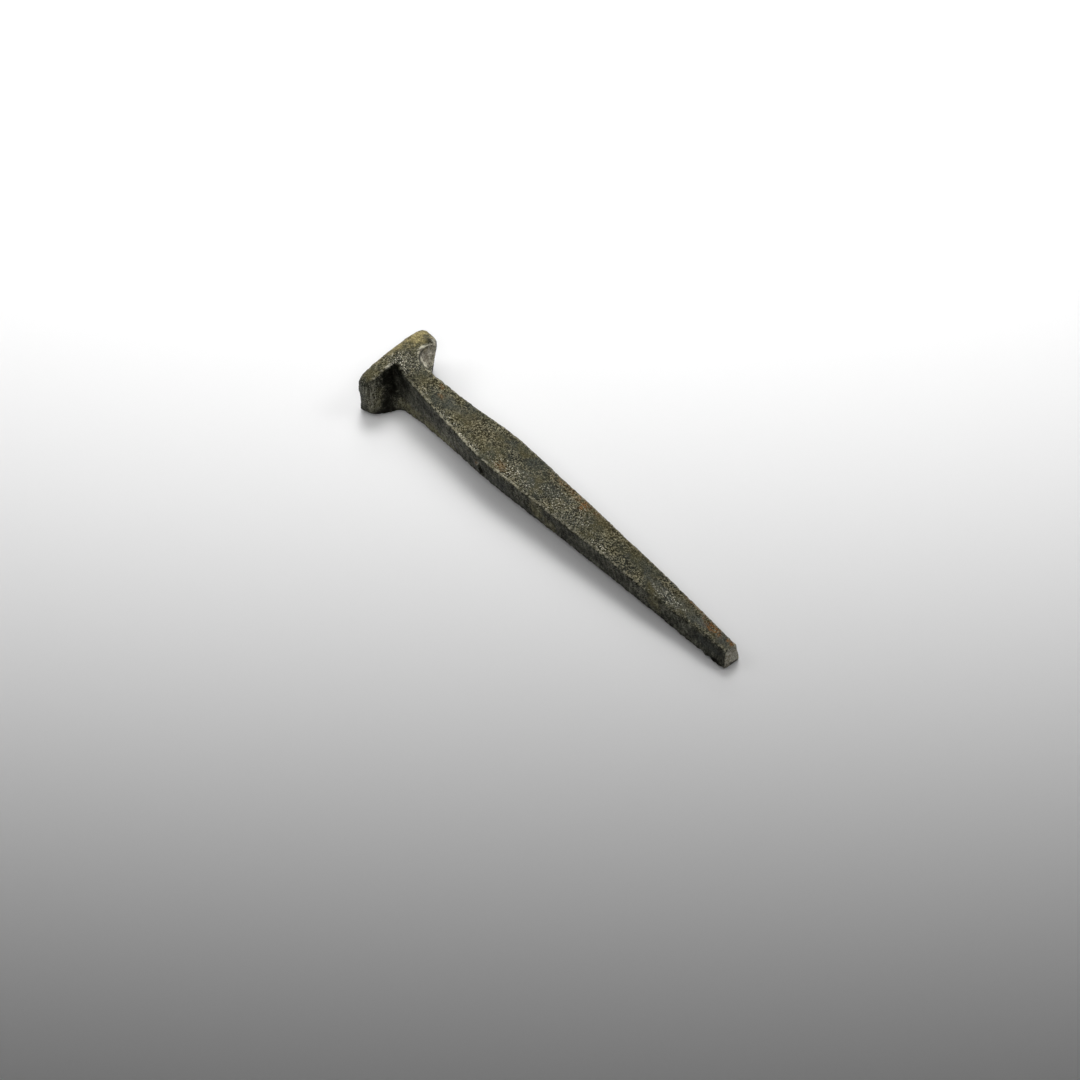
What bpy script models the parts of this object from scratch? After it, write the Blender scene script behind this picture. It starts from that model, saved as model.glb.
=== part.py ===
"""Rail spike, forged from one bar.

It has a T head, a narrow deep throat, a wide belly and a taper to a sheared point.

Metres, +Z up. The spike lies on the surface z = 0, carried by the lower side of its head and by its
point. Its length runs along X, with the struck face at -X and the point at +X, and its head reaches
across Y. The origin is in the middle of its footprint.

The dimensions below are in millimetres. A station is a distance from the struck face, and a reach is
a distance from the middle plane of the shank: the near side is -Y and the far side is +Y.
"""

import math

import bmesh
import bpy

MM = 0.001

# Overall size
LENGTH = 150.0
NEAR_REACH = 13.2
FAR_REACH = 15.6

# Plan of the head, as corners (station, reach, fillet radius): struck corner, lobe corner and root.
# The near lobe's underside is a ledge along its top and a slope along its bottom. The far lobe is
# thicker, and its underside is one flat face, which leans back towards the struck face as it goes down.
NEAR_TOP = ((0.0, NEAR_REACH, 1.6), (5.2, NEAR_REACH, 1.0), (5.6, 2.2, 0.5))
NEAR_BOTTOM = ((0.0, NEAR_REACH, 1.6), (5.0, NEAR_REACH, 1.2), (10.6, 3.5, 2.2))
FAR_PLAN = ((0.0, FAR_REACH, 2.8), (7.6, FAR_REACH, 4.0), (16.4, 3.9, 2.5))
FAR_LEAN = 0.16
HEAD_TOP = 18.0
HEAD_END = 21.0

# Head in side view: its top is crowned and leans across Y, and the struck face has a rounded rim
STRUCK_ROUND = 3.0
CROWN_DROP = 1.9
CROWN_LEAN = 0.04
NEAR_LOBE_EDGE = 0.9
FAR_LOBE_EDGE = 2.2

# Scoop that the forging tool left on top of the far lobe, part of a ball
SCOOP_CENTRE = (13.8, 9.3, 19.6)
SCOOP_RADIUS = 6.1

# Shank: station, width, height of the upper face and height of the lower face
SHANK = (
    (5.0, 4.4, 18.5, 0.0),
    (12.0, 6.9, 18.8, 0.0),
    (20.0, 8.2, 17.7, 2.0),
    (30.0, 10.2, 16.3, 3.7),
    (40.0, 12.2, 15.4, 5.0),
    (50.0, 14.1, 14.8, 5.7),
    (62.0, 13.4, 14.2, 5.2),
    (90.0, 10.8, 12.8, 3.9),
    (120.0, 8.1, 10.6, 2.1),
    (150.0, 4.3, 8.3, 0.0),
)
RIDGE_RADIUS = 0.8

# Point: the shear cuts it aslant, leaves it wider below than above, and rounds its rim
POINT_FLARE = 1.7
POINT_LENGTH = 40.0
POINT_ROUND = 0.4
SHEAR_ACROSS = 0.13
SHEAR_UP = -0.1

# Fineness of the loft. The steps are those of the struck corner, the lobe corner, the slope, the root
# and the throat. Both sides have as many in all, and the near side turns its lobe while the far side
# rounds its struck corner, so that the lines across the top of the head don't cross.
NEAR_STEPS = (3, 3, 4, 3, 14)
FAR_STEPS = (10, 5, 4, 3, 5)
SHANK_STEP = 4.5
ACROSS_STEPS = 10
UP_STEPS = 4
CORNER_STEPS = 3
SCOOP_SEGMENTS = 56
SHARP_ANGLE = 30.0

IRON_COLOUR = (0.16, 0.15, 0.12, 1.0)
IRON_ROUGHNESS = 0.62
IRON_METALLIC = 0.7


def clear_scene():
    for old in list(bpy.data.objects):
        bpy.data.objects.remove(old, do_unlink=True)


def mix(first, second, share):
    return first + (second - first) * share


def smooth_share(start, end, value):
    """0 before start, 1 after end, and a smooth step between them."""
    t = min(max((value - start) / (end - start), 0.0), 1.0)
    return t * t * (3.0 - 2.0 * t)


def shank_value(column, station):
    """One column of SHANK at a station, on a cubic curve through the rows."""
    rows = [(row[0], row[column]) for row in SHANK]
    station = min(max(station, rows[0][0]), rows[-1][0])
    index = next(i for i in range(len(rows) - 1) if station <= rows[i + 1][0])
    (x0, y0), (x1, y1) = rows[index], rows[index + 1]
    before = rows[max(index - 1, 0)]
    after = rows[min(index + 2, len(rows) - 1)]
    slope_0 = (y1 - before[1]) / (x1 - before[0])
    slope_1 = (after[1] - y0) / (after[0] - x0)
    run = x1 - x0
    t = (station - x0) / run
    start_part = (2 * t**3 - 3 * t**2 + 1) * y0 + (t**3 - 2 * t**2 + t) * run * slope_0
    end_part = (3 * t**2 - 2 * t**3) * y1 + (t**3 - t**2) * run * slope_1
    return start_part + end_part


def fillet(before, corner, after, steps):
    """Points of the arc that rounds a corner (x, y, radius) between two straight runs."""
    radius = corner[2]
    to_before = (before[0] - corner[0], before[1] - corner[1])
    to_after = (after[0] - corner[0], after[1] - corner[1])
    angle_before = math.atan2(to_before[1], to_before[0])
    angle_after = math.atan2(to_after[1], to_after[0])
    turn = (angle_after - angle_before + math.pi) % (2 * math.pi) - math.pi
    half = abs(turn) / 2
    middle = angle_before + turn / 2
    centre_distance = radius / math.sin(half)
    centre = (corner[0] + centre_distance * math.cos(middle), corner[1] + centre_distance * math.sin(middle))
    sweep = math.pi - abs(turn)
    first = middle + math.pi + math.copysign(sweep / 2, turn)
    points = []
    for i in range(steps + 1):
        angle = first - math.copysign(sweep, turn) * i / steps
        points.append((centre[0] + radius * math.cos(angle), centre[1] + radius * math.sin(angle)))
    return points


def side_outline(corners, steps):
    """One side of the plan, as (station, reach) points from the struck face to the point of the spike."""
    struck, lobe, root = corners
    struck_steps, lobe_steps, slope_steps, root_steps, throat_steps = steps
    throat = (HEAD_END, shank_value(1, HEAD_END) / 2)
    outline = fillet((struck[0], 0.0), struck, lobe, struck_steps)
    outline += fillet(struck, lobe, root, lobe_steps)
    root_arc = fillet(lobe, root, throat, root_steps)
    start = outline[-1]
    for i in range(1, slope_steps):
        share = i / slope_steps
        outline.append((mix(start[0], root_arc[0][0], share), mix(start[1], root_arc[0][1], share)))
    outline += root_arc
    start = outline[-1]
    for i in range(1, throat_steps + 1):
        station = mix(start[0], HEAD_END, i / throat_steps)
        straight = mix(start[1], throat[1], i / throat_steps)
        own = shank_value(1, station) / 2
        outline.append((station, mix(straight, own, smooth_share(start[0], HEAD_END, station))))
    shank_end = LENGTH - POINT_ROUND
    count = math.ceil((shank_end - HEAD_END) / SHANK_STEP)
    stations = [mix(HEAD_END, shank_end, i / count) for i in range(1, count + 1)]
    for i in range(1, CORNER_STEPS + 1):
        stations.append(shank_end + POINT_ROUND * math.sin(math.radians(90 * i / CORNER_STEPS)))
    return outline + [(station, shank_value(1, station) / 2) for station in stations]


def edge_inset(distance, radius):
    """How far a rounded rim pulls a side in, at a distance from the rim's flat."""
    if distance >= radius:
        return 0.0
    return radius - math.sqrt(max(radius**2 - (radius - distance) ** 2, 0.0))


def top_height(station, y):
    """Height of the upper face: its profile, less the crown and the lean of the head."""
    head = 1.0 - smooth_share(FAR_PLAN[1][0], HEAD_END, station)
    return shank_value(2, station) - head * (CROWN_DROP * (y / FAR_REACH) ** 2 - CROWN_LEAN * y)


def bottom_height(station):
    """Height of the lower face, which is flat under the head."""
    return max(shank_value(3, station), 0.0)


def inward(outline, struck_steps):
    """The direction into the body at each point of a side's plan, square to the shank but for the lobe."""
    directions = []
    for i, (station, _reach) in enumerate(outline):
        if i <= struck_steps or station >= HEAD_END:
            directions.append((0.0, -1.0))
            continue
        along = (outline[i + 1][0] - outline[i - 1][0], outline[i + 1][1] - outline[i - 1][1])
        length = math.hypot(*along)
        directions.append((along[1] / length, -along[0] / length))
    return directions


def corner_point(across, up, degrees):
    """A point on a rounded corner of the section: the corner, and its inset and rise in edge radii."""
    angle = math.radians(degrees)
    return (across, up, 1 - abs(math.cos(angle)), math.sin(angle) + 1 - 2 * up)


def ring_profile():
    """Once round the section, as (across, up, inset, rise)."""
    corners = ((1, 0, -90), (1, 1, 0), (-1, 1, 90), (-1, 0, 180))
    steps = (UP_STEPS, ACROSS_STEPS, UP_STEPS, ACROSS_STEPS)
    profile = []
    for index, (across, up, first) in enumerate(corners):
        for i in range(CORNER_STEPS + 1):
            profile.append(corner_point(across, up, first + 90 * i / CORNER_STEPS))
        last = profile[-1]
        following = corner_point(*corners[(index + 1) % len(corners)])
        for i in range(1, steps[index]):
            profile.append(tuple(mix(a, b, i / steps[index]) for a, b in zip(last, following)))
    return profile


def far_lean(station):
    """How far the far side leans back for each millimetre down, which is in full along its underside."""
    _, (lobe_end, _, lobe_radius), (root, _, root_radius) = FAR_PLAN
    grown = smooth_share(0.0, lobe_end - lobe_radius / 2, station)
    gone = smooth_share(root - root_radius, HEAD_END, station)
    return FAR_LEAN * grown * (1.0 - gone)


def moved_in(plan_point, inset):
    """A plan point, given as its (station, reach) and its inward direction, moved into the body."""
    (station, reach), direction = plan_point
    return station + inset * direction[0], reach + inset * direction[1]


def ring(near_bottom, near_top, far_side):
    """One loop of points round the body, in millimetres, from its plan points on either side."""
    station = (near_top[0][0] + far_side[0][0]) / 2
    fade = smooth_share(FAR_PLAN[1][0] / 2, HEAD_END, station)
    tip = smooth_share(LENGTH - POINT_LENGTH, LENGTH, station)
    rim = edge_inset(LENGTH - station, POINT_ROUND)
    lean = far_lean(far_side[0][0])
    points = []
    for across, up, inset, rise in ring_profile():
        share = (across + 1) / 2
        radius = mix(mix(NEAR_LOBE_EDGE, FAR_LOBE_EDGE, share), RIDGE_RADIUS, fade)
        low = moved_in(near_bottom, inset * radius)
        high = moved_in(near_top, inset * radius)
        far = moved_in(far_side, inset * radius)
        flare = POINT_FLARE * tip * (1 - up) / 2 - rim
        x = mix(mix(low[0], high[0], up), far[0], share)
        y = mix(-mix(low[1], high[1], up) - flare, far[1] + flare, share)
        rounding = rim + edge_inset(x, STRUCK_ROUND)
        z = mix(bottom_height(x) + rounding, top_height(x, y) - rounding, up) + rise * radius
        x += lean * share * (z - HEAD_TOP)
        x += tip * (SHEAR_ACROSS * (y - far_side[0][1]) + SHEAR_UP * z)
        points.append((x, y, z))
    return points


def place(x, y, z):
    """From millimetres with the struck face at station 0 to metres about the middle of the footprint."""
    return ((x - LENGTH / 2) * MM, (y - (FAR_REACH - NEAR_REACH) / 2) * MM, z * MM)


def loft(rings):
    """A closed mesh through the rings, with a flat cap on each end."""
    mesh = bmesh.new()
    loops = [[mesh.verts.new(place(*point)) for point in points] for points in rings]
    count = len(loops[0])
    for before, after in zip(loops, loops[1:]):
        for i in range(count):
            j = (i + 1) % count
            mesh.faces.new((before[i], before[j], after[j], after[i]))
    mesh.faces.new(loops[0])
    mesh.faces.new(loops[-1])
    bmesh.ops.recalc_face_normals(mesh, faces=mesh.faces)
    return mesh


def scoop_cutter():
    """The ball that cuts the scoop."""
    mesh = bmesh.new()
    rows = SCOOP_SEGMENTS // 2
    bmesh.ops.create_uvsphere(mesh, u_segments=SCOOP_SEGMENTS, v_segments=rows, radius=SCOOP_RADIUS * MM)
    data = bpy.data.meshes.new("scoop_cutter")
    mesh.to_mesh(data)
    mesh.free()
    cutter = bpy.data.objects.new("scoop_cutter", data)
    cutter.location = place(*SCOOP_CENTRE)
    cutter.hide_render = True
    cutter.display_type = "WIRE"
    bpy.context.scene.collection.objects.link(cutter)
    return cutter


def forged_iron():
    material = bpy.data.materials.new("forged_iron")
    material.use_nodes = True
    shader = material.node_tree.nodes["Principled BSDF"]
    shader.inputs["Base Color"].default_value = IRON_COLOUR
    shader.inputs["Roughness"].default_value = IRON_ROUGHNESS
    shader.inputs["Metallic"].default_value = IRON_METALLIC
    return material


def forged_spike():
    data = bpy.data.meshes.new("forged_spike")
    sides = []
    for corners, steps in ((NEAR_BOTTOM, NEAR_STEPS), (NEAR_TOP, NEAR_STEPS), (FAR_PLAN, FAR_STEPS)):
        outline = side_outline(corners, steps)
        sides.append(zip(outline, inward(outline, steps[0])))
    mesh = loft([ring(*plan_points) for plan_points in zip(*sides)])
    mesh.to_mesh(data)
    mesh.free()
    data.shade_smooth()
    data.set_sharp_from_angle(angle=math.radians(SHARP_ANGLE))
    data.materials.append(forged_iron())
    spike = bpy.data.objects.new("forged_spike", data)
    bpy.context.scene.collection.objects.link(spike)
    cut = spike.modifiers.new("scoop", "BOOLEAN")
    cut.operation = "DIFFERENCE"
    cut.object = scoop_cutter()
    return spike


clear_scene()
forged_spike()
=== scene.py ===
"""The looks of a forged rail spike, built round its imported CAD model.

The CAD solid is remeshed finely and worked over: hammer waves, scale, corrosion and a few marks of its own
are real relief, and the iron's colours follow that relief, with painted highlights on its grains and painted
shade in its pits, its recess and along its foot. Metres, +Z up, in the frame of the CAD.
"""

import math

import bpy
import numpy as np
from mathutils import Matrix, Vector, noise


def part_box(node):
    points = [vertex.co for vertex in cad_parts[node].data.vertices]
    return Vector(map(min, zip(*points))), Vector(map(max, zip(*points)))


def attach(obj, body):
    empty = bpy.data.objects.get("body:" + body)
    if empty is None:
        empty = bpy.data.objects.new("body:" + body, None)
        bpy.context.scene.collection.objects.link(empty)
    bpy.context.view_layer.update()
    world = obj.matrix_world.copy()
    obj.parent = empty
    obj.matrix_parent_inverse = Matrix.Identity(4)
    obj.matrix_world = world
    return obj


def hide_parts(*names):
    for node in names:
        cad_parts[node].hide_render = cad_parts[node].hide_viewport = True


# A millimetre in metres, and a number that only keeps a division from being by zero
MM = 0.001
TINY = 1e-9

# Camera: the angles and the lens, and the point it looks at, from the middle of the footprint
AZIMUTH = 44.98
ELEVATION = 55.0
LENS_MM = 100.0
SENSOR_MM = 36.0
CLIP = (0.01, 20.0)
DISTANCE = 0.9241
TARGET_OFFSET = (0.00194, -0.00957)

# Light: the strength of the surround, and the softboxes. Each softbox has a size, a place (to the right of,
# behind and above the point the camera looks at), a point on the floor that it faces, a spread in degrees,
# and a power in watts
SURROUND = 0.03
SOFTBOXES = {
    "softbox_above": ((1.0, 0.6), (0.0, 0.32, 0.8), (0.0, 0.33), 62.0, 0.62),
    "softbox_behind": ((1.0, 0.36), (0.0, 0.4, 0.6), (0.0, 0.133), 35.0, 0.68),
    "softbox_low": ((1.0, 0.3), (0.0, 0.7, 0.5), (0.0, 0.2), 40.0, 0.14),
    "softbox_left": ((0.8, 0.3), (-0.5, 0.35, 0.6), (0.0, 0.35), 45.0, 0.2),
    "softbox_right": ((0.8, 0.3), (0.5, 0.35, 0.6), (0.0, 0.35), 45.0, 0.2),
    "softbox_front": ((0.9, 0.3), (0.0, -0.35, 0.6), (0.0, 0.3), 45.0, 0.42),
}

# Floor: how far it reaches each way, and its finish
FLOOR_REACH = 3.0
FLOOR_GREY = (0.82, 0.82, 0.82, 1)
FLOOR_ROUGHNESS = 0.7
FLOOR_SHEEN = 0.1

# Fineness of the surface, and the rounds and the shares of its smoothing
VOXEL = 0.284 * MM
WELD = 0.001 * MM
SMOOTH_ROUNDS = 12
SMOOTH_IN = 0.5
SMOOTH_OUT = -0.52
SOFTEN_ROUNDS = 160
SOFTEN_SHARE = 0.5
CONVEX_ROUNDS = 3

# Middle plane of the shank, in millimetres in the frame of the CAD
SHANK_MIDDLE = -1.2

# How far each seed moves the noise, in its grids
SEED_STEP = 17.31

# Relief from noise: the grid of the noise in millimetres along X, Y and Z, its seed, and its height
HAMMER = ((16.0, 8.0, 8.0), 1, 0.22)
LUMPS = ((3.6, 2.6, 2.6), 2, 0.09)
RAGGED = ((1.6, 1.6, 1.6), 9, 0.4)

# The same for noise that is shaped first or also sets the tone: the grid and the seed, then the heights
NET = ((1.2, 1.0, 1.0), 3)
GRAIN = ((0.46, 0.44, 0.44), 4)
FLAKES = ((2.4, 1.8, 1.8), 7)
STREAKS = ((1.0, 2.0, 3.0), 8)
NET_HEIGHT = 0.15
GRAIN_HEIGHT = 0.15
FLAKE_HEIGHT = 0.06
STREAK_HEIGHT = 0.16

# Share of the grain's height that the flanks have
FLANK_GRAIN = 0.7

# Share of the noise's height that a ridge of a net reaches to either side
NET_WIDTH = 0.26

# How far a streak leans along the spike for each millimetre up
STREAK_LEAN = 0.25

# How coarse the top is: a start, what a place with glints adds, and clouds of noise, held in a range
COARSE_START = 0.5
COARSE_GLINT = 0.45
COARSE_CLOUDS = ((8.0, 4.0, 4.0), 10, 1.1)
COARSE_RANGE = (0.1, 1.1)

# Share of its relief that each kind of place loses
CALM_SMOOTH = 0.8
CALM_PLAIN = 0.85
CALM_FAR_EDGE = 0.65
CALM_FLANK = 0.7
CALM_HAMMER_EDGE = 0.6
CALM_LUMPS_PLAIN = 0.7

# Painted shade along the foot of the sides: its height in millimetres, and its ragged rim
LOW_BAND = 2.0
LOW_RIM = ((1.2, 1.0, 1.0), 12, LOW_BAND)

# Rim of every patch: two sizes of noise, and the distances, in its reach, where it starts and is whole
PATCH_RIM = ((1.6, 1.2, 1.2), 5, 0.5)
PATCH_CRUMBS = ((0.6, 0.6, 0.6), 6, 0.35)
PATCH_EDGE = (1.15, 0.35)

# Below, a pair says where a share leaves 0 and where it reaches 1. These are of how far the surface faces
# up, but FACES_TIP is of how far it faces the tip, CONVEX_EDGE of how many millimetres a point stands off
# the points around it, and FLAKE_EDGE of the noise of the flakes
FACES_UP = (0.35, 0.8)
FACES_DOWN = (0.1, -0.3)
FACES_SIDE = (0.5, 0.2)
FACES_TIP = (0.75, 0.95)
GLINT_FACES = (0.2, 0.6)
RIDGE_FACES = ((0.1, 0.4), (0.995, 0.95))
SCOOP_FACES = ((0.2, 0.45), (0.985, 0.955))
CONVEX_EDGE = (0.017, 0.066)
FLAKE_EDGE = (-0.08, 0.08)

# The same for stations from the struck face, for distances across the spike and for heights
SHANK_FOOT = (40.0, 60.0)
HEAD_FOOT = (14.0, 8.0)
RIDGE_ALONG = (14.0, 17.0)
RIDGE_ACROSS = (-1.5, -2.5)
HEAD_ALONG = (14.0, 9.0)
SCOOP_ALONG = (4.8, 6.2)
SCOOP_ACROSS = (4.0, 6.5)
TIP_ALONG = (140.0, 146.0)
RAGGED_ALONG = (126.0, 136.0)
RAGGED_ACROSS = (1.0, -1.0)
RAGGED_UP = (2.6, 0.8)
FAR_SIDE = (1.0, 3.0)

# Places below are a station from the struck face, a distance across and a height, in millimetres.
# A dent or a bump has a reach and a height; a groove has two ends, a reach and a height.
DENTS = (
    (1.6, -13.3, 1.0, 2.4, 0.85),
    (4.6, -12.6, 0.4, 2.0, -0.4),
    (145.6, -3.3, 1.6, 1.4, -0.4),
    (140.5, -3.4, 1.2, 1.5, -0.25),
)
GROOVES = (
    ((47.9, -7.0, 12.0), (51.0, -7.0, 7.4), 0.6, -0.85),
    ((47.0, -7.0, 11.6), (49.8, -7.0, 7.4), 0.7, 0.35),
)

# Patches: the place, the reach along, across and up, and the strength. The soft ones round the form off.
# The others are of finish and colour, by the names that the material reads.
SOFT_PATCHES = (
    (4.0, -13.0, 5.0, 6.0, 6.0, 9.0, 1.0),
    (4.0, -12.8, 15.0, 5.0, 3.6, 6.0, 1.0),
    (12.4, 6.6, 17.2, 2.6, 2.6, 3.0, 0.8),
    (133.0, -3.4, 9.6, 17.0, 2.4, 2.4, 0.35),
)
PATCHES = {
    "smooth": (
        (136.5, -0.2, 9.3, 5.0, 1.7, 2.0, 0.9),
        (143.0, -3.2, 6.0, 8.0, 1.6, 3.0, 0.75),
        (120.0, -0.6, 10.5, 7.0, 1.8, 2.0, 0.6),
        (132.0, 0.0, 9.6, 12.0, 3.0, 2.0, 0.5),
        (146.0, 0.0, 8.3, 5.0, 3.0, 2.0, 0.7),
        (30.0, 1.0, 16.8, 7.0, 2.4, 2.0, 0.35),
        (64.5, -2.0, 14.2, 6.0, 2.4, 2.0, 0.45),
        (57.0, -6.8, 8.0, 5.0, 1.6, 4.0, 0.6),
    ),
    # Painted highlights: a streak and a lip in the scoop, a line on the head, spots on the tip face and one
    # beside the groove
    "shine_highlight": (
        (9.8, 6.2, 16.3, 1.3, 0.9, 1.2, 1.0),
        (11.2, 6.2, 15.1, 1.4, 0.9, 1.2, 1.0),
        (7.3, 9.0, 18.4, 0.5, 2.2, 0.7, 0.8),
        (5.3, -3.8, 18.1, 0.5, 2.6, 0.6, 0.95),
        (149.8, -3.2, 4.2, 0.8, 0.7, 4.4, 0.7),
        (150.2, -0.8, 4.4, 0.9, 3.4, 5.0, 0.1),
        (48.0, -7.2, 10.4, 0.5, 0.8, 1.4, 0.5),
    ),
    # Places where bright glint specks are painted on the grains, and where the scale is coarser
    "glint": (
        (8.0, -0.5, 18.5, 6.0, 5.5, 4.0, 1.0),
        (19.5, -2.8, 17.5, 2.5, 1.2, 3.0, 0.9),
        (32.0, -4.4, 16.0, 5.0, 1.6, 3.0, 1.0),
        (42.0, -5.6, 15.5, 8.0, 1.6, 3.0, 0.9),
        (60.0, -4.0, 14.5, 10.0, 3.6, 3.0, 0.95),
        (80.0, -1.0, 13.5, 16.0, 6.0, 4.0, 0.55),
        (98.0, -3.4, 12.5, 5.0, 1.8, 3.0, 0.95),
        (124.5, -1.0, 10.5, 7.0, 2.2, 3.0, 0.7),
    ),
    "rust": (
        (22.9, 2.7, 17.3, 1.4, 1.0, 2.0, 0.8),
        (25.0, 0.1, 17.0, 1.6, 1.0, 2.0, 0.4),
        (84.0, 3.2, 13.0, 2.0, 1.6, 3.0, 0.9),
        (80.0, 5.0, 13.0, 12.0, 1.6, 3.0, 0.45),
        (56.0, -4.6, 14.8, 3.0, 1.6, 2.0, 0.4),
        (133.0, 2.8, 9.4, 7.0, 0.9, 1.5, 0.6),
        (140.6, 1.0, 9.0, 4.2, 1.4, 2.0, 1.0),
        (147.4, 1.2, 8.3, 2.4, 1.3, 1.5, 1.0),
        (47.6, -7.3, 10.8, 0.8, 1.0, 1.6, 0.8),
    ),
    "patina": (
        (1.0, 11.5, 17.5, 6.5, 7.0, 5.0, 1.0),
        (0.5, 4.0, 18.5, 3.6, 7.0, 4.0, 0.8),
        (0.5, -4.0, 18.0, 2.2, 7.0, 3.5, 0.45),
    ),
    "olive": (
        (14.0, -4.0, 3.0, 6.0, 3.0, 4.0, 0.95),
        (28.0, -4.8, 3.0, 17.0, 3.0, 5.0, 0.95),
        (5.6, -10.4, 8.0, 3.0, 3.6, 7.0, 0.85),
        (90.0, 4.2, 12.8, 30.0, 2.2, 3.0, 0.65),
        (42.0, 1.0, 15.5, 10.0, 4.0, 3.0, 0.45),
        (58.0, -4.4, 14.6, 6.0, 2.6, 3.0, 0.5),
        (128.0, 1.8, 10.0, 12.0, 1.4, 2.0, 0.5),
        (73.0, -6.4, 10.5, 3.5, 1.6, 4.0, 0.9),
        (78.6, -6.0, 6.5, 3.0, 1.6, 3.5, 0.8),
        (121.0, -4.2, 7.5, 3.0, 1.6, 4.0, 0.8),
    ),
    "pale": (
        (5.4, -12.0, 9.5, 2.0, 2.6, 7.0, 0.9),
        (5.6, -9.6, 14.4, 1.6, 2.6, 1.8, 0.6),
        (34.0, -5.6, 9.0, 8.0, 1.4, 4.0, 0.45),
    ),
    # Dark places: painted shade in the recess under the head and in the groove, dark stains on the top and
    # the far lobe, and darker spots at the foot by the tip
    "grime_and_shade": (
        (6.2, -3.2, 15.8, 2.8, 3.0, 2.6, 1.0),
        (6.9, -2.2, 18.2, 1.9, 1.2, 1.0, 1.0),
        (6.8, -3.8, 13.0, 3.2, 2.8, 4.5, 1.0),
        (6.0, -5.4, 14.2, 2.6, 4.0, 3.4, 1.0),
        (7.2, -6.4, 6.8, 2.2, 3.0, 4.0, 0.85),
        (11.0, -3.0, 14.5, 5.0, 1.6, 3.8, 0.95),
        (9.6, -3.0, 10.0, 3.4, 1.6, 4.0, 0.7),
        (8.8, -2.6, 17.0, 3.6, 1.4, 1.8, 1.0),
        (7.4, -4.8, 8.4, 2.8, 2.6, 5.0, 1.0),
        (7.3, -7.8, 4.6, 2.0, 2.6, 3.4, 0.95),
        (7.8, -8.0, 1.2, 3.6, 5.0, 2.6, 1.0),
        (6.2, -6.5, 16.0, 1.8, 4.0, 1.4, 0.8),
        (24.0, -4.6, 12.6, 15.0, 1.6, 3.6, 0.6),
        (13.0, -2.4, 17.8, 6.0, 1.6, 2.0, 0.6),
        (7.2, 12.3, 17.9, 1.7, 1.7, 1.2, 0.7),
        (49.6, -7.2, 9.4, 0.9, 1.2, 2.8, 1.0),
        (145.8, -3.3, 1.4, 2.2, 1.4, 1.8, 0.9),
        (138.0, -3.4, 1.0, 9.0, 1.2, 1.2, 0.7),
    ),
}

# Tone that the colours follow: a start, and how much of the streaks or the net, and of the grain, it takes
FLANK_TONE = (0.5, 0.6, 1.1)
TOP_TONE = (0.3, 0.45, 0.75)

# Colours in pairs, the darker one first. Steel and grain highlights are dark on the flanks and light on the
# top: painted shade on the flanks and painted light on the top.
SHADES = {
    "scale": ((0.050, 0.053, 0.039, 1), (0.068, 0.062, 0.033, 1)),
    "flank": ((0.014, 0.015, 0.011, 1), (0.105, 0.107, 0.083, 1)),
    "olive": ((0.08, 0.074, 0.036, 1), (0.30, 0.28, 0.16, 1)),
    "pale": ((0.045, 0.044, 0.034, 1), (0.38, 0.37, 0.29, 1)),
    "bare": ((0.16, 0.143, 0.11, 1), (0.36, 0.34, 0.28, 1)),
    "tip_face": ((0.26, 0.24, 0.185, 1), (0.50, 0.48, 0.40, 1)),
    "steel_lit_and_shaded": ((0.045, 0.050, 0.048, 1), (0.095, 0.100, 0.090, 1)),
    "gold": ((0.14, 0.117, 0.052, 1), (0.37, 0.31, 0.145, 1)),
    "grain_highlights": ((0.18, 0.175, 0.135, 1), (0.31, 0.28, 0.18, 1)),
    "rust": ((0.08, 0.036, 0.014, 1), (0.34, 0.155, 0.05, 1)),
}
SLATE = (0.034, 0.040, 0.038, 1)
OLIVE_TOP = (0.100, 0.080, 0.038, 1)
# Colour of the painted glint specks
GLINT_SPECK = (0.70, 0.67, 0.55, 1)
# Near black in the pits: dark scale with painted shade in the hollows
PIT_SHADE = (0.008, 0.008, 0.005, 1)
# Bright metal for rubbed edges and for the painted highlight along the ridge
WEAR_AND_HIGHLIGHT = (0.55, 0.52, 0.39, 1)
# Near black, for dark stains and for painted shade in the recess, underneath and along the foot
GRIME_AND_SHADE = (0.003, 0.003, 0.002, 1)

# Share of each layer of colour where it is whole
SLATE_SHARE = 0.75
OLIVE_SHARE = 0.85
PALE_SHARE = 0.85
STEEL_SHARE = 0.8
GLINT_SPECK_SHARE = 0.9
RUST_SHARE = 0.85
WEAR_AND_HIGHLIGHT_SHARE = 0.85
SHADE_UNDER_SHARE = 0.92
GRIME_AND_SHADE_SHARE = 0.98

# Noise in the material: the size of its grid in millimetres, its detail, its stretch along X, Y and Z,
# and its seed
EVEN = (1.0, 1.0, 1.0)
STREAKED = (1.3, 4.0, (1.2, 1.0, 0.7), 3.0)
DRAGGED = (1.0, 3.0, (1.6, 1.6, 0.3), 5.0)
BUMP_FINE = (0.22, 3.0, EVEN, 5.0)
BUMP_BROAD = (0.9, 2.0, EVEN, 0.0)

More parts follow.
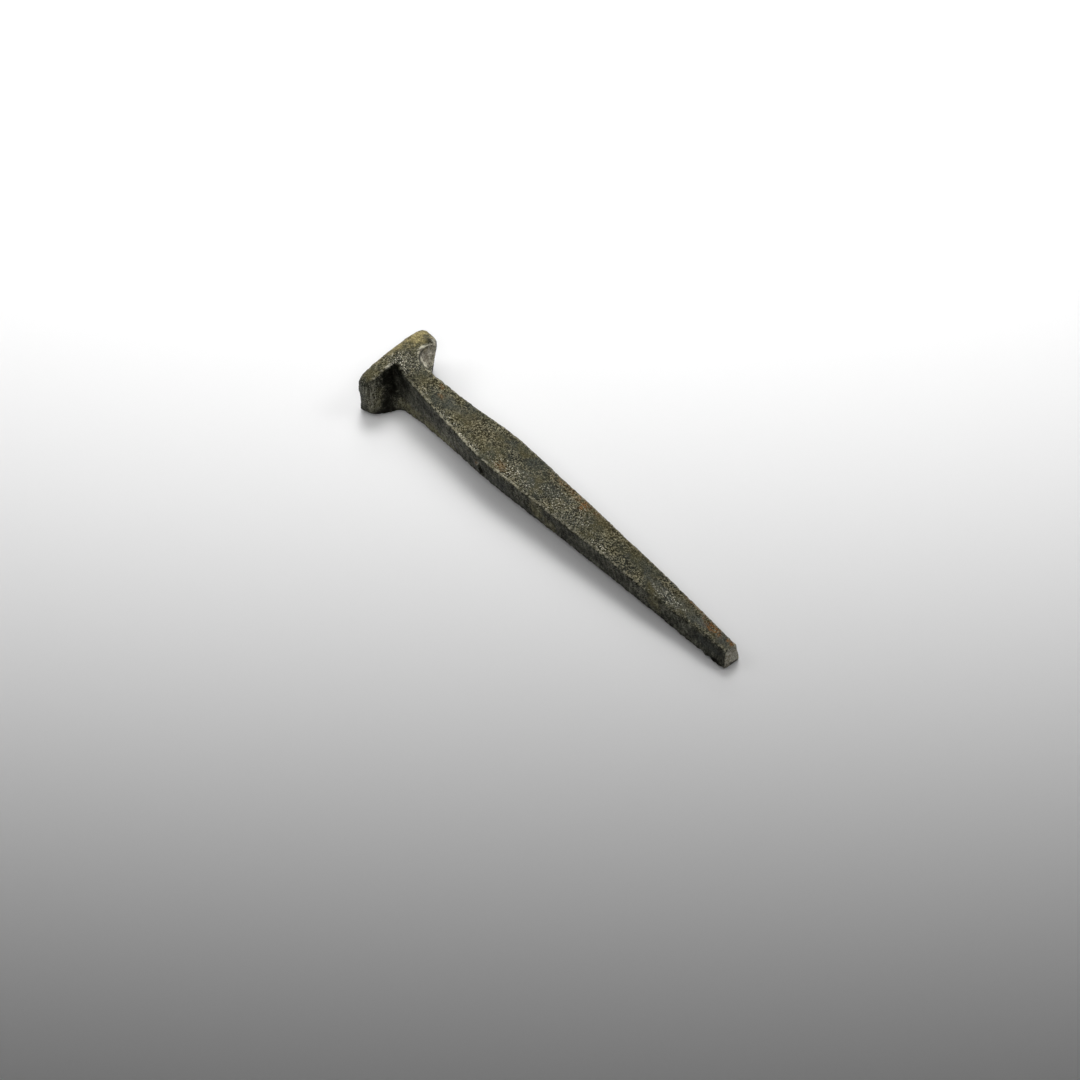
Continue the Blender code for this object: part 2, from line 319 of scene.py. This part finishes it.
# A mottle is such a noise, and the two values of it that are stretched to 0 and 1
MOTTLES = {
    "cloud": ((4.5, 3.0, EVEN, 0.0), (0.38, 0.6)),
    "slate": ((6.0, 3.0, EVEN, 23.0), (0.47, 0.6)),
    "streak": (STREAKED, (0.32, 0.68)),
    "olive": (STREAKED, (0.35, 0.65)),
    "grime_and_shade": (STREAKED, (0.3, 0.7)),
    "drag": (DRAGGED, (0.4, 0.6)),
    "pale": (DRAGGED, (0.43, 0.6)),
    "broad": ((5.0, 2.0, EVEN, 21.0), (0.38, 0.62)),
    "stain": ((1.6, 4.0, EVEN, 17.0), (0.38, 0.62)),
    "gold": ((1.0, 3.0, EVEN, 0.0), (0.35, 0.65)),
    "fleck": ((0.28, 1.0, EVEN, 7.0), (0.3, 0.7)),
    "glint_speck": ((0.42, 2.0, EVEN, 11.0), (0.58, 0.65)),
    "spot": ((0.45, 3.0, EVEN, 13.0), (0.35, 0.65)),
    "rust": ((0.8, 4.0, EVEN, 19.0), (0.4, 0.58)),
    "wear": ((0.9, 3.0, EVEN, 9.0), (0.48, 0.6)),
    "ridge": ((0.7, 2.0, EVEN, 15.0), (0.44, 0.52)),
    "rough": ((0.5, 3.0, EVEN, 4.0), (0.3, 0.7)),
}

# Factors that a mottle multiplies a colour or a share by, from its darkest to its lightest
DRAG_FACTORS = (0.4, 1.5)
BROAD_FACTORS = (0.5, 1.4)
SPOT_FACTORS = (0.5, 1.45)
GRIME_AND_SHADE_FACTORS = (1.15, 0.93)

# Grains, whose peaks take painted highlights and whose pits painted shade: the share of fine flecks in their
# tone, the tones over which peaks and pits grow, and how the coarseness and the glints scale them
FLECK_SHARE = 0.5
PEAK_TONES = (0.5, 0.68)
PIT_TONES = (0.48, 0.3)
COARSE_SPAN = (0.1, 0.8)
PEAK_COARSE = (0.2, 0.8)
PIT_COARSE = (0.25, 1.0)
GLINT_SPAN = (0.0, 1.0)
PEAK_GLINT = (1.0, 0.62)
GLINT_SPECK_SPAN = (0.1, 0.8)

# How calm a golden place counts as, and the share of its grains that a calm place loses
CALM_GOLD = 0.8
CALM_GRAINS = 0.75

# Flecks over which rust goes from brown to light, and shares over which edges wear bright
RUST_FLECKS = (0.3, 0.8)
WORN_UPWARD = (0.05, 0.4)
WORN_PLAIN = (0.02, 0.2)

# Finish of the iron: its roughness, what bare metal takes off it and rust adds, how metallic the bright
# places are, the sheen, and the fine bumps
ROUGHNESS = (0.34, 0.62)
POLISH = 0.08
RUST_ROUGHNESS = 0.2
METAL_SHARE = 0.5
SHEEN = 0.07
SHEEN_TINT = (1.0, 0.92, 0.62, 1)
BUMP_BROAD_SHARE = 1.5
BUMP_STRENGTH = 0.8
BUMP_DEPTH = 0.12 * MM

# Sockets of a Mix node that mixes colours: three inputs and its output
MIX_SHARE = 0
MIX_FIRST = 6
MIX_SECOND = 7
MIX_RESULT = 2


def remeshed(node):
    """A new object with a CAD node's surface as even quads."""
    piece = bpy.data.objects.new("spike", node.data.copy())
    bpy.context.scene.collection.objects.link(piece)
    weld = piece.modifiers.new("weld", "WELD")
    weld.merge_threshold = WELD
    remesh = piece.modifiers.new("remesh", "REMESH")
    remesh.mode = "VOXEL"
    remesh.voxel_size = VOXEL
    evaluated = piece.evaluated_get(bpy.context.evaluated_depsgraph_get())
    mesh = bpy.data.meshes.new_from_object(evaluated)
    piece.modifiers.clear()
    piece.data = mesh
    mesh.materials.clear()
    return piece


def read_points(mesh):
    values = np.empty(len(mesh.vertices) * 3)
    mesh.vertices.foreach_get("co", values)
    return values.reshape(-1, 3)


def write_points(mesh, points):
    mesh.vertices.foreach_set("co", points.ravel())
    mesh.update()


def read_normals(mesh):
    values = np.empty(len(mesh.vertices) * 3, np.float32)
    mesh.vertex_normals.foreach_get("vector", values)
    return values.reshape(-1, 3).astype(float)


def read_edges(mesh):
    values = np.empty(len(mesh.edges) * 2, np.int32)
    mesh.edges.foreach_get("vertices", values)
    return values.reshape(-1, 2)


def store(mesh, name, values):
    """Keeps one number for each point, for the material to read."""
    attribute = mesh.attributes.new(name, "FLOAT", "POINT")
    attribute.data.foreach_set("value", np.clip(values, 0.0, 1.0).astype(np.float32))


def neighbour_mean(values, edges):
    """For each point, the mean of the values at its neighbours."""
    ends = np.concatenate((edges[:, 0], edges[:, 1]))
    others = np.concatenate((edges[:, 1], edges[:, 0]))
    count = np.bincount(ends, minlength=len(values))
    columns = [np.bincount(ends, weights=column[others], minlength=len(values)) for column in values.T]
    return np.stack(columns, axis=1) / count[:, None]


def smoothed(points, edges):
    """The points with the facets and voxel steps smoothed away, without shrinking the form."""
    for _ in range(SMOOTH_ROUNDS):
        for share in (SMOOTH_IN, SMOOTH_OUT):
            points = points + share * (neighbour_mean(points, edges) - points)
    return points


def softened(points, edges, low):
    """The points with the form rounded where the soft patches are."""
    soft = patch_field(in_millimetres(points, low), SOFT_PATCHES)[:, None]
    for _ in range(SOFTEN_ROUNDS):
        points = points + soft * SOFTEN_SHARE * (neighbour_mean(points, edges) - points)
    return points


def convexity(points, normals, edges):
    """How many millimetres each point stands off the mean of the points around it."""
    mean = points
    for _ in range(CONVEX_ROUNDS):
        mean = neighbour_mean(mean, edges)
    return ((points - mean) * normals).sum(axis=1) / MM


def in_millimetres(points, low):
    """Places as station, distance across from the middle of the shank, and height."""
    return (points - np.array((low.x, SHANK_MIDDLE * MM, low.z))) / MM


def mix(first, second, share):
    return first + (second - first) * share


def noise_field(points, grid, seed, height=1.0):
    """Smooth noise from -height to height at points in millimetres."""
    scaled = points / np.asarray(grid) + seed * SEED_STEP
    return np.array([noise.noise(Vector(point)) for point in scaled]) * height


def net_field(points, grid, seed):
    """A net of ridges, from 0 in its meshes to 1 along its crests, where the noise passes through zero."""
    return np.clip(1.0 - np.abs(noise_field(points, grid, seed)) / NET_WIDTH, 0.0, 1.0)


def smooth_share(limits, values):
    """A smooth rise from 0 at the first limit to 1 at the second."""
    start, end = limits
    t = np.clip((values - start) / (end - start), 0.0, 1.0)
    return t * t * (3.0 - 2.0 * t)


def patch_field(points, patches):
    """How strongly each point is in a patch, whose rim is broken up by noise."""
    rim = noise_field(points, *PATCH_RIM) + noise_field(points, *PATCH_CRUMBS)
    total = np.zeros(len(points))
    for station, across, height, along_reach, across_reach, up_reach, strength in patches:
        offset = (points - (station, across, height)) / (along_reach, across_reach, up_reach)
        distance = np.sqrt((offset**2).sum(axis=1))
        total = np.maximum(total, strength * smooth_share(PATCH_EDGE, distance + rim))
    return total


def mark_field(points):
    """The height of the single dents, bumps and grooves at each point."""
    marks = [(place, place, reach, rise) for *place, reach, rise in DENTS]
    total = np.zeros(len(points))
    for start, end, reach, rise in marks + list(GROOVES):
        start, run = np.array(start), np.subtract(end, start)
        share = np.clip((points - start) @ run / max(run @ run, TINY), 0.0, 1.0)
        distance = np.linalg.norm(points - start - share[:, None] * run, axis=1)
        total += rise * smooth_share((reach, 0.0), distance)
    return total


def low_band(points, facing_up):
    """A ragged band of painted shade along the foot of the sides, from the lowest point at each station up.
    """
    slot = np.round(points[:, 0]).astype(int)
    slot -= slot.min()
    foot = np.full(slot.max() + 1, np.inf)
    np.minimum.at(foot, slot, points[:, 2])
    rise = points[:, 2] - foot[slot] + noise_field(points, *LOW_RIM)
    return smooth_share((LOW_BAND, 0.0), rise) * smooth_share(FACES_SIDE, facing_up)


def find_zones(local, normals, convex):
    """Shares from 0 to 1 that say where each kind of surface is, by the names that the material reads."""
    station, across, _ = local.T
    facing_up = normals[:, 2]
    zones = {name: patch_field(local, patches) for name, patches in PATCHES.items()}
    zones["glint"] *= smooth_share(GLINT_FACES, facing_up)
    zones["edge"] = smooth_share(CONVEX_EDGE, convex)
    zones["upward"] = smooth_share(FACES_UP, facing_up)

    # Painted shade: faces that look down, and a band along the foot of the head and of the shank
    foot_stations = np.maximum(smooth_share(SHANK_FOOT, station), smooth_share(HEAD_FOOT, station))
    foot = low_band(local, facing_up) * foot_stations
    zones["under"] = np.maximum(smooth_share(FACES_DOWN, facing_up), foot)

    # A band along the near ridge of the top, where a broken highlight is painted
    ridge = smooth_share(RIDGE_FACES[0], facing_up) * smooth_share(RIDGE_FACES[1], facing_up)
    zones["ridge"] = ridge * (smooth_share(RIDGE_ACROSS, across) * smooth_share(RIDGE_ALONG, station))

    scoop = smooth_share(HEAD_ALONG, station) * smooth_share(SCOOP_ACROSS, across)
    scoop *= smooth_share(SCOOP_ALONG, station)
    scoop *= smooth_share(SCOOP_FACES[0], facing_up) * smooth_share(SCOOP_FACES[1], facing_up)
    zones["tip_face"] = smooth_share(FACES_TIP, normals[:, 0]) * smooth_share(TIP_ALONG, station)
    zones["plain"] = np.clip(scoop + zones["tip_face"], 0.0, 1.0)
    return zones


def coarseness(local, zones):
    """How coarse the scale on the top is."""
    coarse = COARSE_START + COARSE_GLINT * zones["glint"] + noise_field(local, *COARSE_CLOUDS)
    coarse = np.clip(coarse, *COARSE_RANGE) * (1.0 - CALM_SMOOTH * zones["smooth"])
    coarse *= 1.0 - CALM_PLAIN * zones["plain"]
    coarse *= 1.0 - CALM_FAR_EDGE * zones["edge"] * smooth_share(FAR_SIDE, local[:, 1])
    return coarse


def ragged_foot(local, tip_face):
    """The height of the torn foot of the near flank, by the tip."""
    station, across, height = local.T
    ragged = noise_field(local, *RAGGED) * smooth_share(RAGGED_ALONG, station)
    ragged *= smooth_share(RAGGED_ACROSS, across) * smooth_share(RAGGED_UP, height) * (1.0 - tip_face)
    return ragged


def relief_and_tone(local, zones):
    """The height of the relief in millimetres at each point, and the tone that its colour follows."""
    upward, plain = zones["upward"], zones["plain"]
    net = net_field(local, *NET)
    grain = noise_field(local, *GRAIN)
    flakes = smooth_share(FLAKE_EDGE, noise_field(local, *FLAKES)) * FLAKE_HEIGHT
    leaning = local + np.outer(local[:, 2], (STREAK_LEAN, 0.0, 0.0))
    streaks = noise_field(leaning, *STREAKS)

    broad = noise_field(local, *HAMMER) * (1.0 - CALM_HAMMER_EDGE * zones["edge"])
    broad += (noise_field(local, *LUMPS) + flakes) * (1.0 - CALM_LUMPS_PLAIN * plain)
    flank = (1.0 - upward) * (1.0 - plain) * (1.0 - CALM_FLANK * zones["smooth"])
    fine = upward * zones["coarse"] * (net * NET_HEIGHT + grain * GRAIN_HEIGHT)
    fine += flank * (streaks * STREAK_HEIGHT + grain * GRAIN_HEIGHT * FLANK_GRAIN)
    relief = broad + fine + ragged_foot(local, zones["tip_face"]) + mark_field(local)

    flank_tone = FLANK_TONE[0] + FLANK_TONE[1] * streaks + FLANK_TONE[2] * grain
    top_tone = TOP_TONE[0] + TOP_TONE[1] * net + TOP_TONE[2] * grain
    return relief, mix(flank_tone, top_tone, upward)


def work_surface(piece, low):
    """Gives the piece its forged and corroded surface, and stores what the material needs to know."""
    mesh = piece.data
    edges = read_edges(mesh)
    points = softened(smoothed(read_points(mesh), edges), edges, low)
    write_points(mesh, points)
    normals = read_normals(mesh)
    local = in_millimetres(points, low)

    zones = find_zones(local, normals, convexity(points, normals, edges))
    zones["coarse"] = coarseness(local, zones)
    relief, zones["tone"] = relief_and_tone(local, zones)
    points = points + normals * (relief * MM)[:, None]
    points[:, 2] = np.maximum(points[:, 2], low.z)
    write_points(mesh, points)
    for name, values in zones.items():
        store(mesh, name, values)
    mesh.shade_smooth()


class Graph:
    """Adds shader nodes to a material. An input given as a socket is linked, and any other is set."""

    def __init__(self, name):
        self.material = bpy.data.materials.new(name)
        self.material.use_nodes = True
        self.tree = self.material.node_tree
        self.shader = self.tree.nodes["Principled BSDF"]
        self.place = self.node("ShaderNodeTexCoord").outputs["Object"]

    def give(self, socket, value):
        if isinstance(value, bpy.types.NodeSocket):
            self.tree.links.new(value, socket)
        else:
            socket.default_value = value

    def node(self, kind, inputs=None, **settings):
        made = self.tree.nodes.new(kind)
        for name, value in settings.items():
            setattr(made, name, value)
        for name, value in (inputs or {}).items():
            self.give(made.inputs[name], value)
        return made

    def attribute(self, name):
        return self.node("ShaderNodeAttribute", attribute_name=name).outputs["Fac"]

    def noise(self, size_mm, detail, stretch, seed):
        """Noise from 0 to 1, with a grid of the given size."""
        inputs = {"Vector": self.place, "Location": (seed,) * 3, "Scale": stretch}
        place = self.node("ShaderNodeMapping", inputs).outputs[0]
        inputs = {"Vector": place, "Scale": 1.0 / (size_mm * MM), "Detail": detail}
        return self.node("ShaderNodeTexNoise", inputs).outputs["Fac"]

    def span(self, value, limits, out=(0.0, 1.0)):
        """The value stretched from the limits to the range out, and held there."""
        ranges = {"From Min": limits[0], "From Max": limits[1], "To Min": out[0], "To Max": out[1]}
        return self.node("ShaderNodeMapRange", {"Value": value, **ranges}).outputs[0]

    def mottle(self, name, out=(0.0, 1.0)):
        texture, limits = MOTTLES[name]
        return self.span(self.noise(*texture), limits, out)

    def math(self, operation, first, second, clamp=False):
        made = self.node("ShaderNodeMath", {0: first, 1: second}, operation=operation, use_clamp=clamp)
        return made.outputs[0]

    def times(self, first, *others):
        for other in others:
            first = self.math("MULTIPLY", first, other)
        return first

    def largest(self, first, *others):
        for other in others:
            first = self.math("MAXIMUM", first, other)
        return first

    def blend(self, share, first, second, kind="MIX"):
        inputs = {MIX_SHARE: share, MIX_FIRST: first, MIX_SECOND: second}
        return self.node("ShaderNodeMix", inputs, data_type="RGBA", blend_type=kind).outputs[MIX_RESULT]

    def shade(self, name, share):
        """A colour between the two of a pair."""
        return self.blend(share, *SHADES[name])

    def scaled(self, colour, factor):
        """The colour made darker or lighter by a factor."""
        grey = self.node("ShaderNodeCombineColor", {"Red": factor, "Green": factor, "Blue": factor})
        return self.blend(1.0, colour, grey.outputs[0], "MULTIPLY")


def iron_ground(graph):
    """Olive scale on the top and drawn streaks on the flanks, with bare, smooth and golden places."""
    olive = graph.times(graph.attribute("olive"), OLIVE_SHARE)
    top = graph.shade("scale", graph.mottle("cloud"))
    top = graph.blend(graph.mottle("slate", (0.0, SLATE_SHARE)), top, SLATE)
    top = graph.blend(olive, top, OLIVE_TOP)
    flank = graph.shade("flank", graph.mottle("streak"))
    flank = graph.scaled(flank, graph.mottle("drag", DRAG_FACTORS))
    flank = graph.scaled(flank, graph.mottle("broad", BROAD_FACTORS))
    flank = graph.blend(olive, flank, graph.shade("olive", graph.mottle("olive")))
    pale = graph.times(graph.attribute("pale"), PALE_SHARE)
    flank = graph.blend(pale, flank, graph.shade("pale", graph.mottle("pale")))
    colour = graph.blend(graph.attribute("upward"), flank, top)

    stain = graph.mottle("stain")
    bare = graph.shade("bare", stain)
    bare = graph.blend(graph.attribute("tip_face"), bare, graph.shade("tip_face", stain))
    colour = graph.blend(graph.attribute("plain"), colour, bare)
    # Smooth places take steel, painted lighter on the top and darker on the flanks
    steel_lit_and_shaded = graph.times(graph.attribute("smooth"), STEEL_SHARE)
    colour = graph.blend(steel_lit_and_shaded, colour, graph.shade("steel_lit_and_shaded", graph.attribute("upward")))
    return graph.blend(graph.attribute("patina"), colour, graph.shade("gold", graph.mottle("gold")))


def add_grains(graph, colour):
    """Light grains and dark pits, partly the scale's own and partly painted highlight and shade, and painted
    glint specks. Gives the colour and the share of the specks.
    """
    coarse = graph.attribute("coarse")
    glint = graph.attribute("glint")
    tone = graph.blend(FLECK_SHARE, graph.attribute("tone"), graph.mottle("fleck"))
    gold = graph.times(graph.attribute("patina"), CALM_GOLD)
    calm = graph.largest(graph.attribute("plain"), graph.attribute("smooth"), gold)
    grainy = graph.math("SUBTRACT", 1.0, graph.times(calm, CALM_GRAINS))

    # Peaks take light grains: part worn scale, part painted highlight, lighter on the top than on the flanks
    peaks = graph.times(graph.span(tone, PEAK_TONES), grainy)
    peaks = graph.times(peaks, graph.span(coarse, COARSE_SPAN, PEAK_COARSE))
    peaks = graph.times(peaks, graph.span(glint, GLINT_SPAN, PEAK_GLINT))
    colour = graph.blend(peaks, colour, graph.shade("grain_highlights", graph.attribute("upward")))
    # Painted highlights: bright specks where the glints are, and the shine patches
    glint_speck = graph.times(graph.mottle("glint_speck"), graph.span(glint, GLINT_SPECK_SPAN))
    glint_speck = graph.largest(glint_speck, graph.attribute("shine_highlight"))
    colour = graph.blend(graph.times(glint_speck, GLINT_SPECK_SHARE), colour, GLINT_SPECK)
    # Pits darken: dark scale, deepened with painted shade in the hollows of the relief
    pits = graph.times(graph.span(tone, PIT_TONES), grainy)
    pits = graph.times(pits, graph.span(coarse, COARSE_SPAN, PIT_COARSE))
    return graph.blend(pits, colour, PIT_SHADE), glint_speck


def add_rust(graph, colour):
    """Rust, broken up by noise. Gives the colour and the share of the rust."""
    rust = graph.times(graph.attribute("rust"), graph.mottle("rust"))
    brown = graph.shade("rust", graph.span(graph.mottle("fleck"), RUST_FLECKS))
    return graph.blend(graph.times(rust, RUST_SHARE), colour, brown), rust


def add_wear_and_highlight(graph, colour):
    """Edges rubbed bright by wear, and a painted highlight along the ridge. Gives the colour and the share
    of both.
    """
    upward = graph.span(graph.attribute("upward"), WORN_UPWARD)
    plain = graph.span(graph.attribute("plain"), WORN_PLAIN)
    edge = graph.times(graph.attribute("edge"), graph.largest(upward, plain))
    # A painted highlight, broken by noise, along the ridge where the glints are
    ridge = graph.times(graph.mottle("ridge"), graph.attribute("glint"), graph.attribute("ridge"))
    wear_and_highlight = graph.largest(graph.times(edge, graph.mottle("wear")), ridge)
    return graph.blend(graph.times(wear_and_highlight, WEAR_AND_HIGHLIGHT_SHARE), colour, WEAR_AND_HIGHLIGHT), wear_and_highlight


def add_grime_and_shade(graph, colour):
    """Dark stains, and painted shade in the recess, the groove, underneath and along the foot, kept off the
    highlights.
    """
    grime_and_shade = graph.math("SUBTRACT", graph.attribute("grime_and_shade"), graph.attribute("shine_highlight"), clamp=True)
    grime_and_shade = graph.times(grime_and_shade, graph.mottle("grime_and_shade", GRIME_AND_SHADE_FACTORS))
    grime_and_shade = graph.largest(grime_and_shade, graph.times(graph.attribute("under"), SHADE_UNDER_SHARE))
    return graph.blend(graph.times(grime_and_shade, GRIME_AND_SHADE_SHARE), colour, GRIME_AND_SHADE)


def forged_iron():
    """Forge scale with light grains and dark pits, painted highlights and shade, streaked flanks, rust, a
    golden patina and stains.
    """
    graph = Graph("forged_iron")
    colour, glint_speck = add_grains(graph, iron_ground(graph))
    colour = graph.scaled(colour, graph.mottle("spot", SPOT_FACTORS))
    colour, rust = add_rust(graph, colour)
    colour, wear_and_highlight = add_wear_and_highlight(graph, colour)
    colour = add_grime_and_shade(graph, colour)

    polish = graph.times(graph.math("ADD", wear_and_highlight, graph.attribute("plain")), POLISH)
    rough = graph.math("SUBTRACT", graph.mottle("rough", ROUGHNESS), polish)
    rough = graph.math("ADD", rough, graph.times(rust, RUST_ROUGHNESS), clamp=True)
    bumps = graph.times(graph.noise(*BUMP_BROAD), BUMP_BROAD_SHARE)
    bumps = graph.math("ADD", graph.noise(*BUMP_FINE), bumps)
    bump = graph.node("ShaderNodeBump", {"Height": bumps, "Strength": BUMP_STRENGTH, "Distance": BUMP_DEPTH})
    finish = {
        "Base Color": colour,
        "Roughness": rough,
        "Metallic": graph.times(graph.largest(glint_speck, wear_and_highlight), METAL_SHARE),
        "Specular IOR Level": SHEEN,
        "Specular Tint": SHEEN_TINT,
        "Normal": bump.outputs[0],
    }
    for name, value in finish.items():
        graph.give(graph.shader.inputs[name], value)
    return graph.material


def pale_floor(height):
    """A wide plain floor that the spike lies on."""
    mesh = bpy.data.meshes.new("floor")
    corners = [(x * FLOOR_REACH, y * FLOOR_REACH, height) for x, y in ((-1, -1), (1, -1), (1, 1), (-1, 1))]
    mesh.from_pydata(corners, [], [(0, 1, 2, 3)])
    material = bpy.data.materials.new("floor")
    material.use_nodes = True
    shader = material.node_tree.nodes["Principled BSDF"]
    shader.inputs["Base Color"].default_value = FLOOR_GREY
    shader.inputs["Roughness"].default_value = FLOOR_ROUGHNESS
    shader.inputs["Specular IOR Level"].default_value = FLOOR_SHEEN
    mesh.materials.append(material)
    floor = bpy.data.objects.new("floor", mesh)
    bpy.context.scene.collection.objects.link(floor)
    return floor


def aim(thing, target):
    thing.rotation_euler = (target - thing.location).to_track_quat("-Z", "Y").to_euler()


def softbox(name, target, size, place, faced, spread, power):
    """A soft lamp, placed from the point that the camera looks at, and turned with the camera."""
    light = bpy.data.lights.new(name, "AREA")
    light.shape = "RECTANGLE"
    light.size, light.size_y = size
    light.spread = math.radians(spread)
    light.energy = power
    lamp = bpy.data.objects.new(name, light)
    turn = Matrix.Rotation(math.radians(AZIMUTH), 3, "Z")
    lamp.location = target + turn @ Vector(place)
    aim(lamp, target + turn @ Vector((*faced, 0.0)))
    bpy.context.scene.collection.objects.link(lamp)


def studio(target):
    """Softboxes all round, whose light fades towards the front of the floor, and a dim surround."""
    world = bpy.data.worlds.new("studio")
    world.use_nodes = True
    background = world.node_tree.nodes["Background"]
    background.inputs["Color"].default_value = (1, 1, 1, 1)
    background.inputs["Strength"].default_value = SURROUND
    bpy.context.scene.world = world
    for name, settings in SOFTBOXES.items():
        softbox(name, target, *settings)
    bpy.context.scene.view_settings.view_transform = "Standard"


def camera(target):
    """The camera, which looks down at the spike from in front of its near flank, on the tip's side."""
    azimuth, elevation = math.radians(AZIMUTH), math.radians(ELEVATION)
    back = Vector((
        math.sin(azimuth) * math.cos(elevation),
        -math.cos(azimuth) * math.cos(elevation),
        math.sin(elevation),
    ))
    lens = bpy.data.cameras.new("camera")
    lens.lens = LENS_MM
    lens.sensor_width = SENSOR_MM
    lens.clip_start, lens.clip_end = CLIP
    eye = bpy.data.objects.new("camera", lens)
    eye.location = target + back * DISTANCE
    bpy.context.scene.collection.objects.link(eye)
    aim(eye, target)
    bpy.context.scene.camera = eye


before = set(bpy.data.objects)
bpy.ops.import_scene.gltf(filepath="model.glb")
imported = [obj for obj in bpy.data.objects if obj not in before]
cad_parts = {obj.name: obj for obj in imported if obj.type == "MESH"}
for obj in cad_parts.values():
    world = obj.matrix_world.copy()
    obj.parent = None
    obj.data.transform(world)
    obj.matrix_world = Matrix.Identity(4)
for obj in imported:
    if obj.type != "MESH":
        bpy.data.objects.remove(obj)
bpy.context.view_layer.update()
low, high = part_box("forged_spike")
middle = (low + high) / 2
target = Vector((middle.x + TARGET_OFFSET[0], middle.y + TARGET_OFFSET[1], low.z))

spike = remeshed(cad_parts["forged_spike"])
work_surface(spike, low)
spike.data.materials.append(forged_iron())
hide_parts("forged_spike")
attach(spike, "root")

pale_floor(low.z)
studio(target)
camera(target)
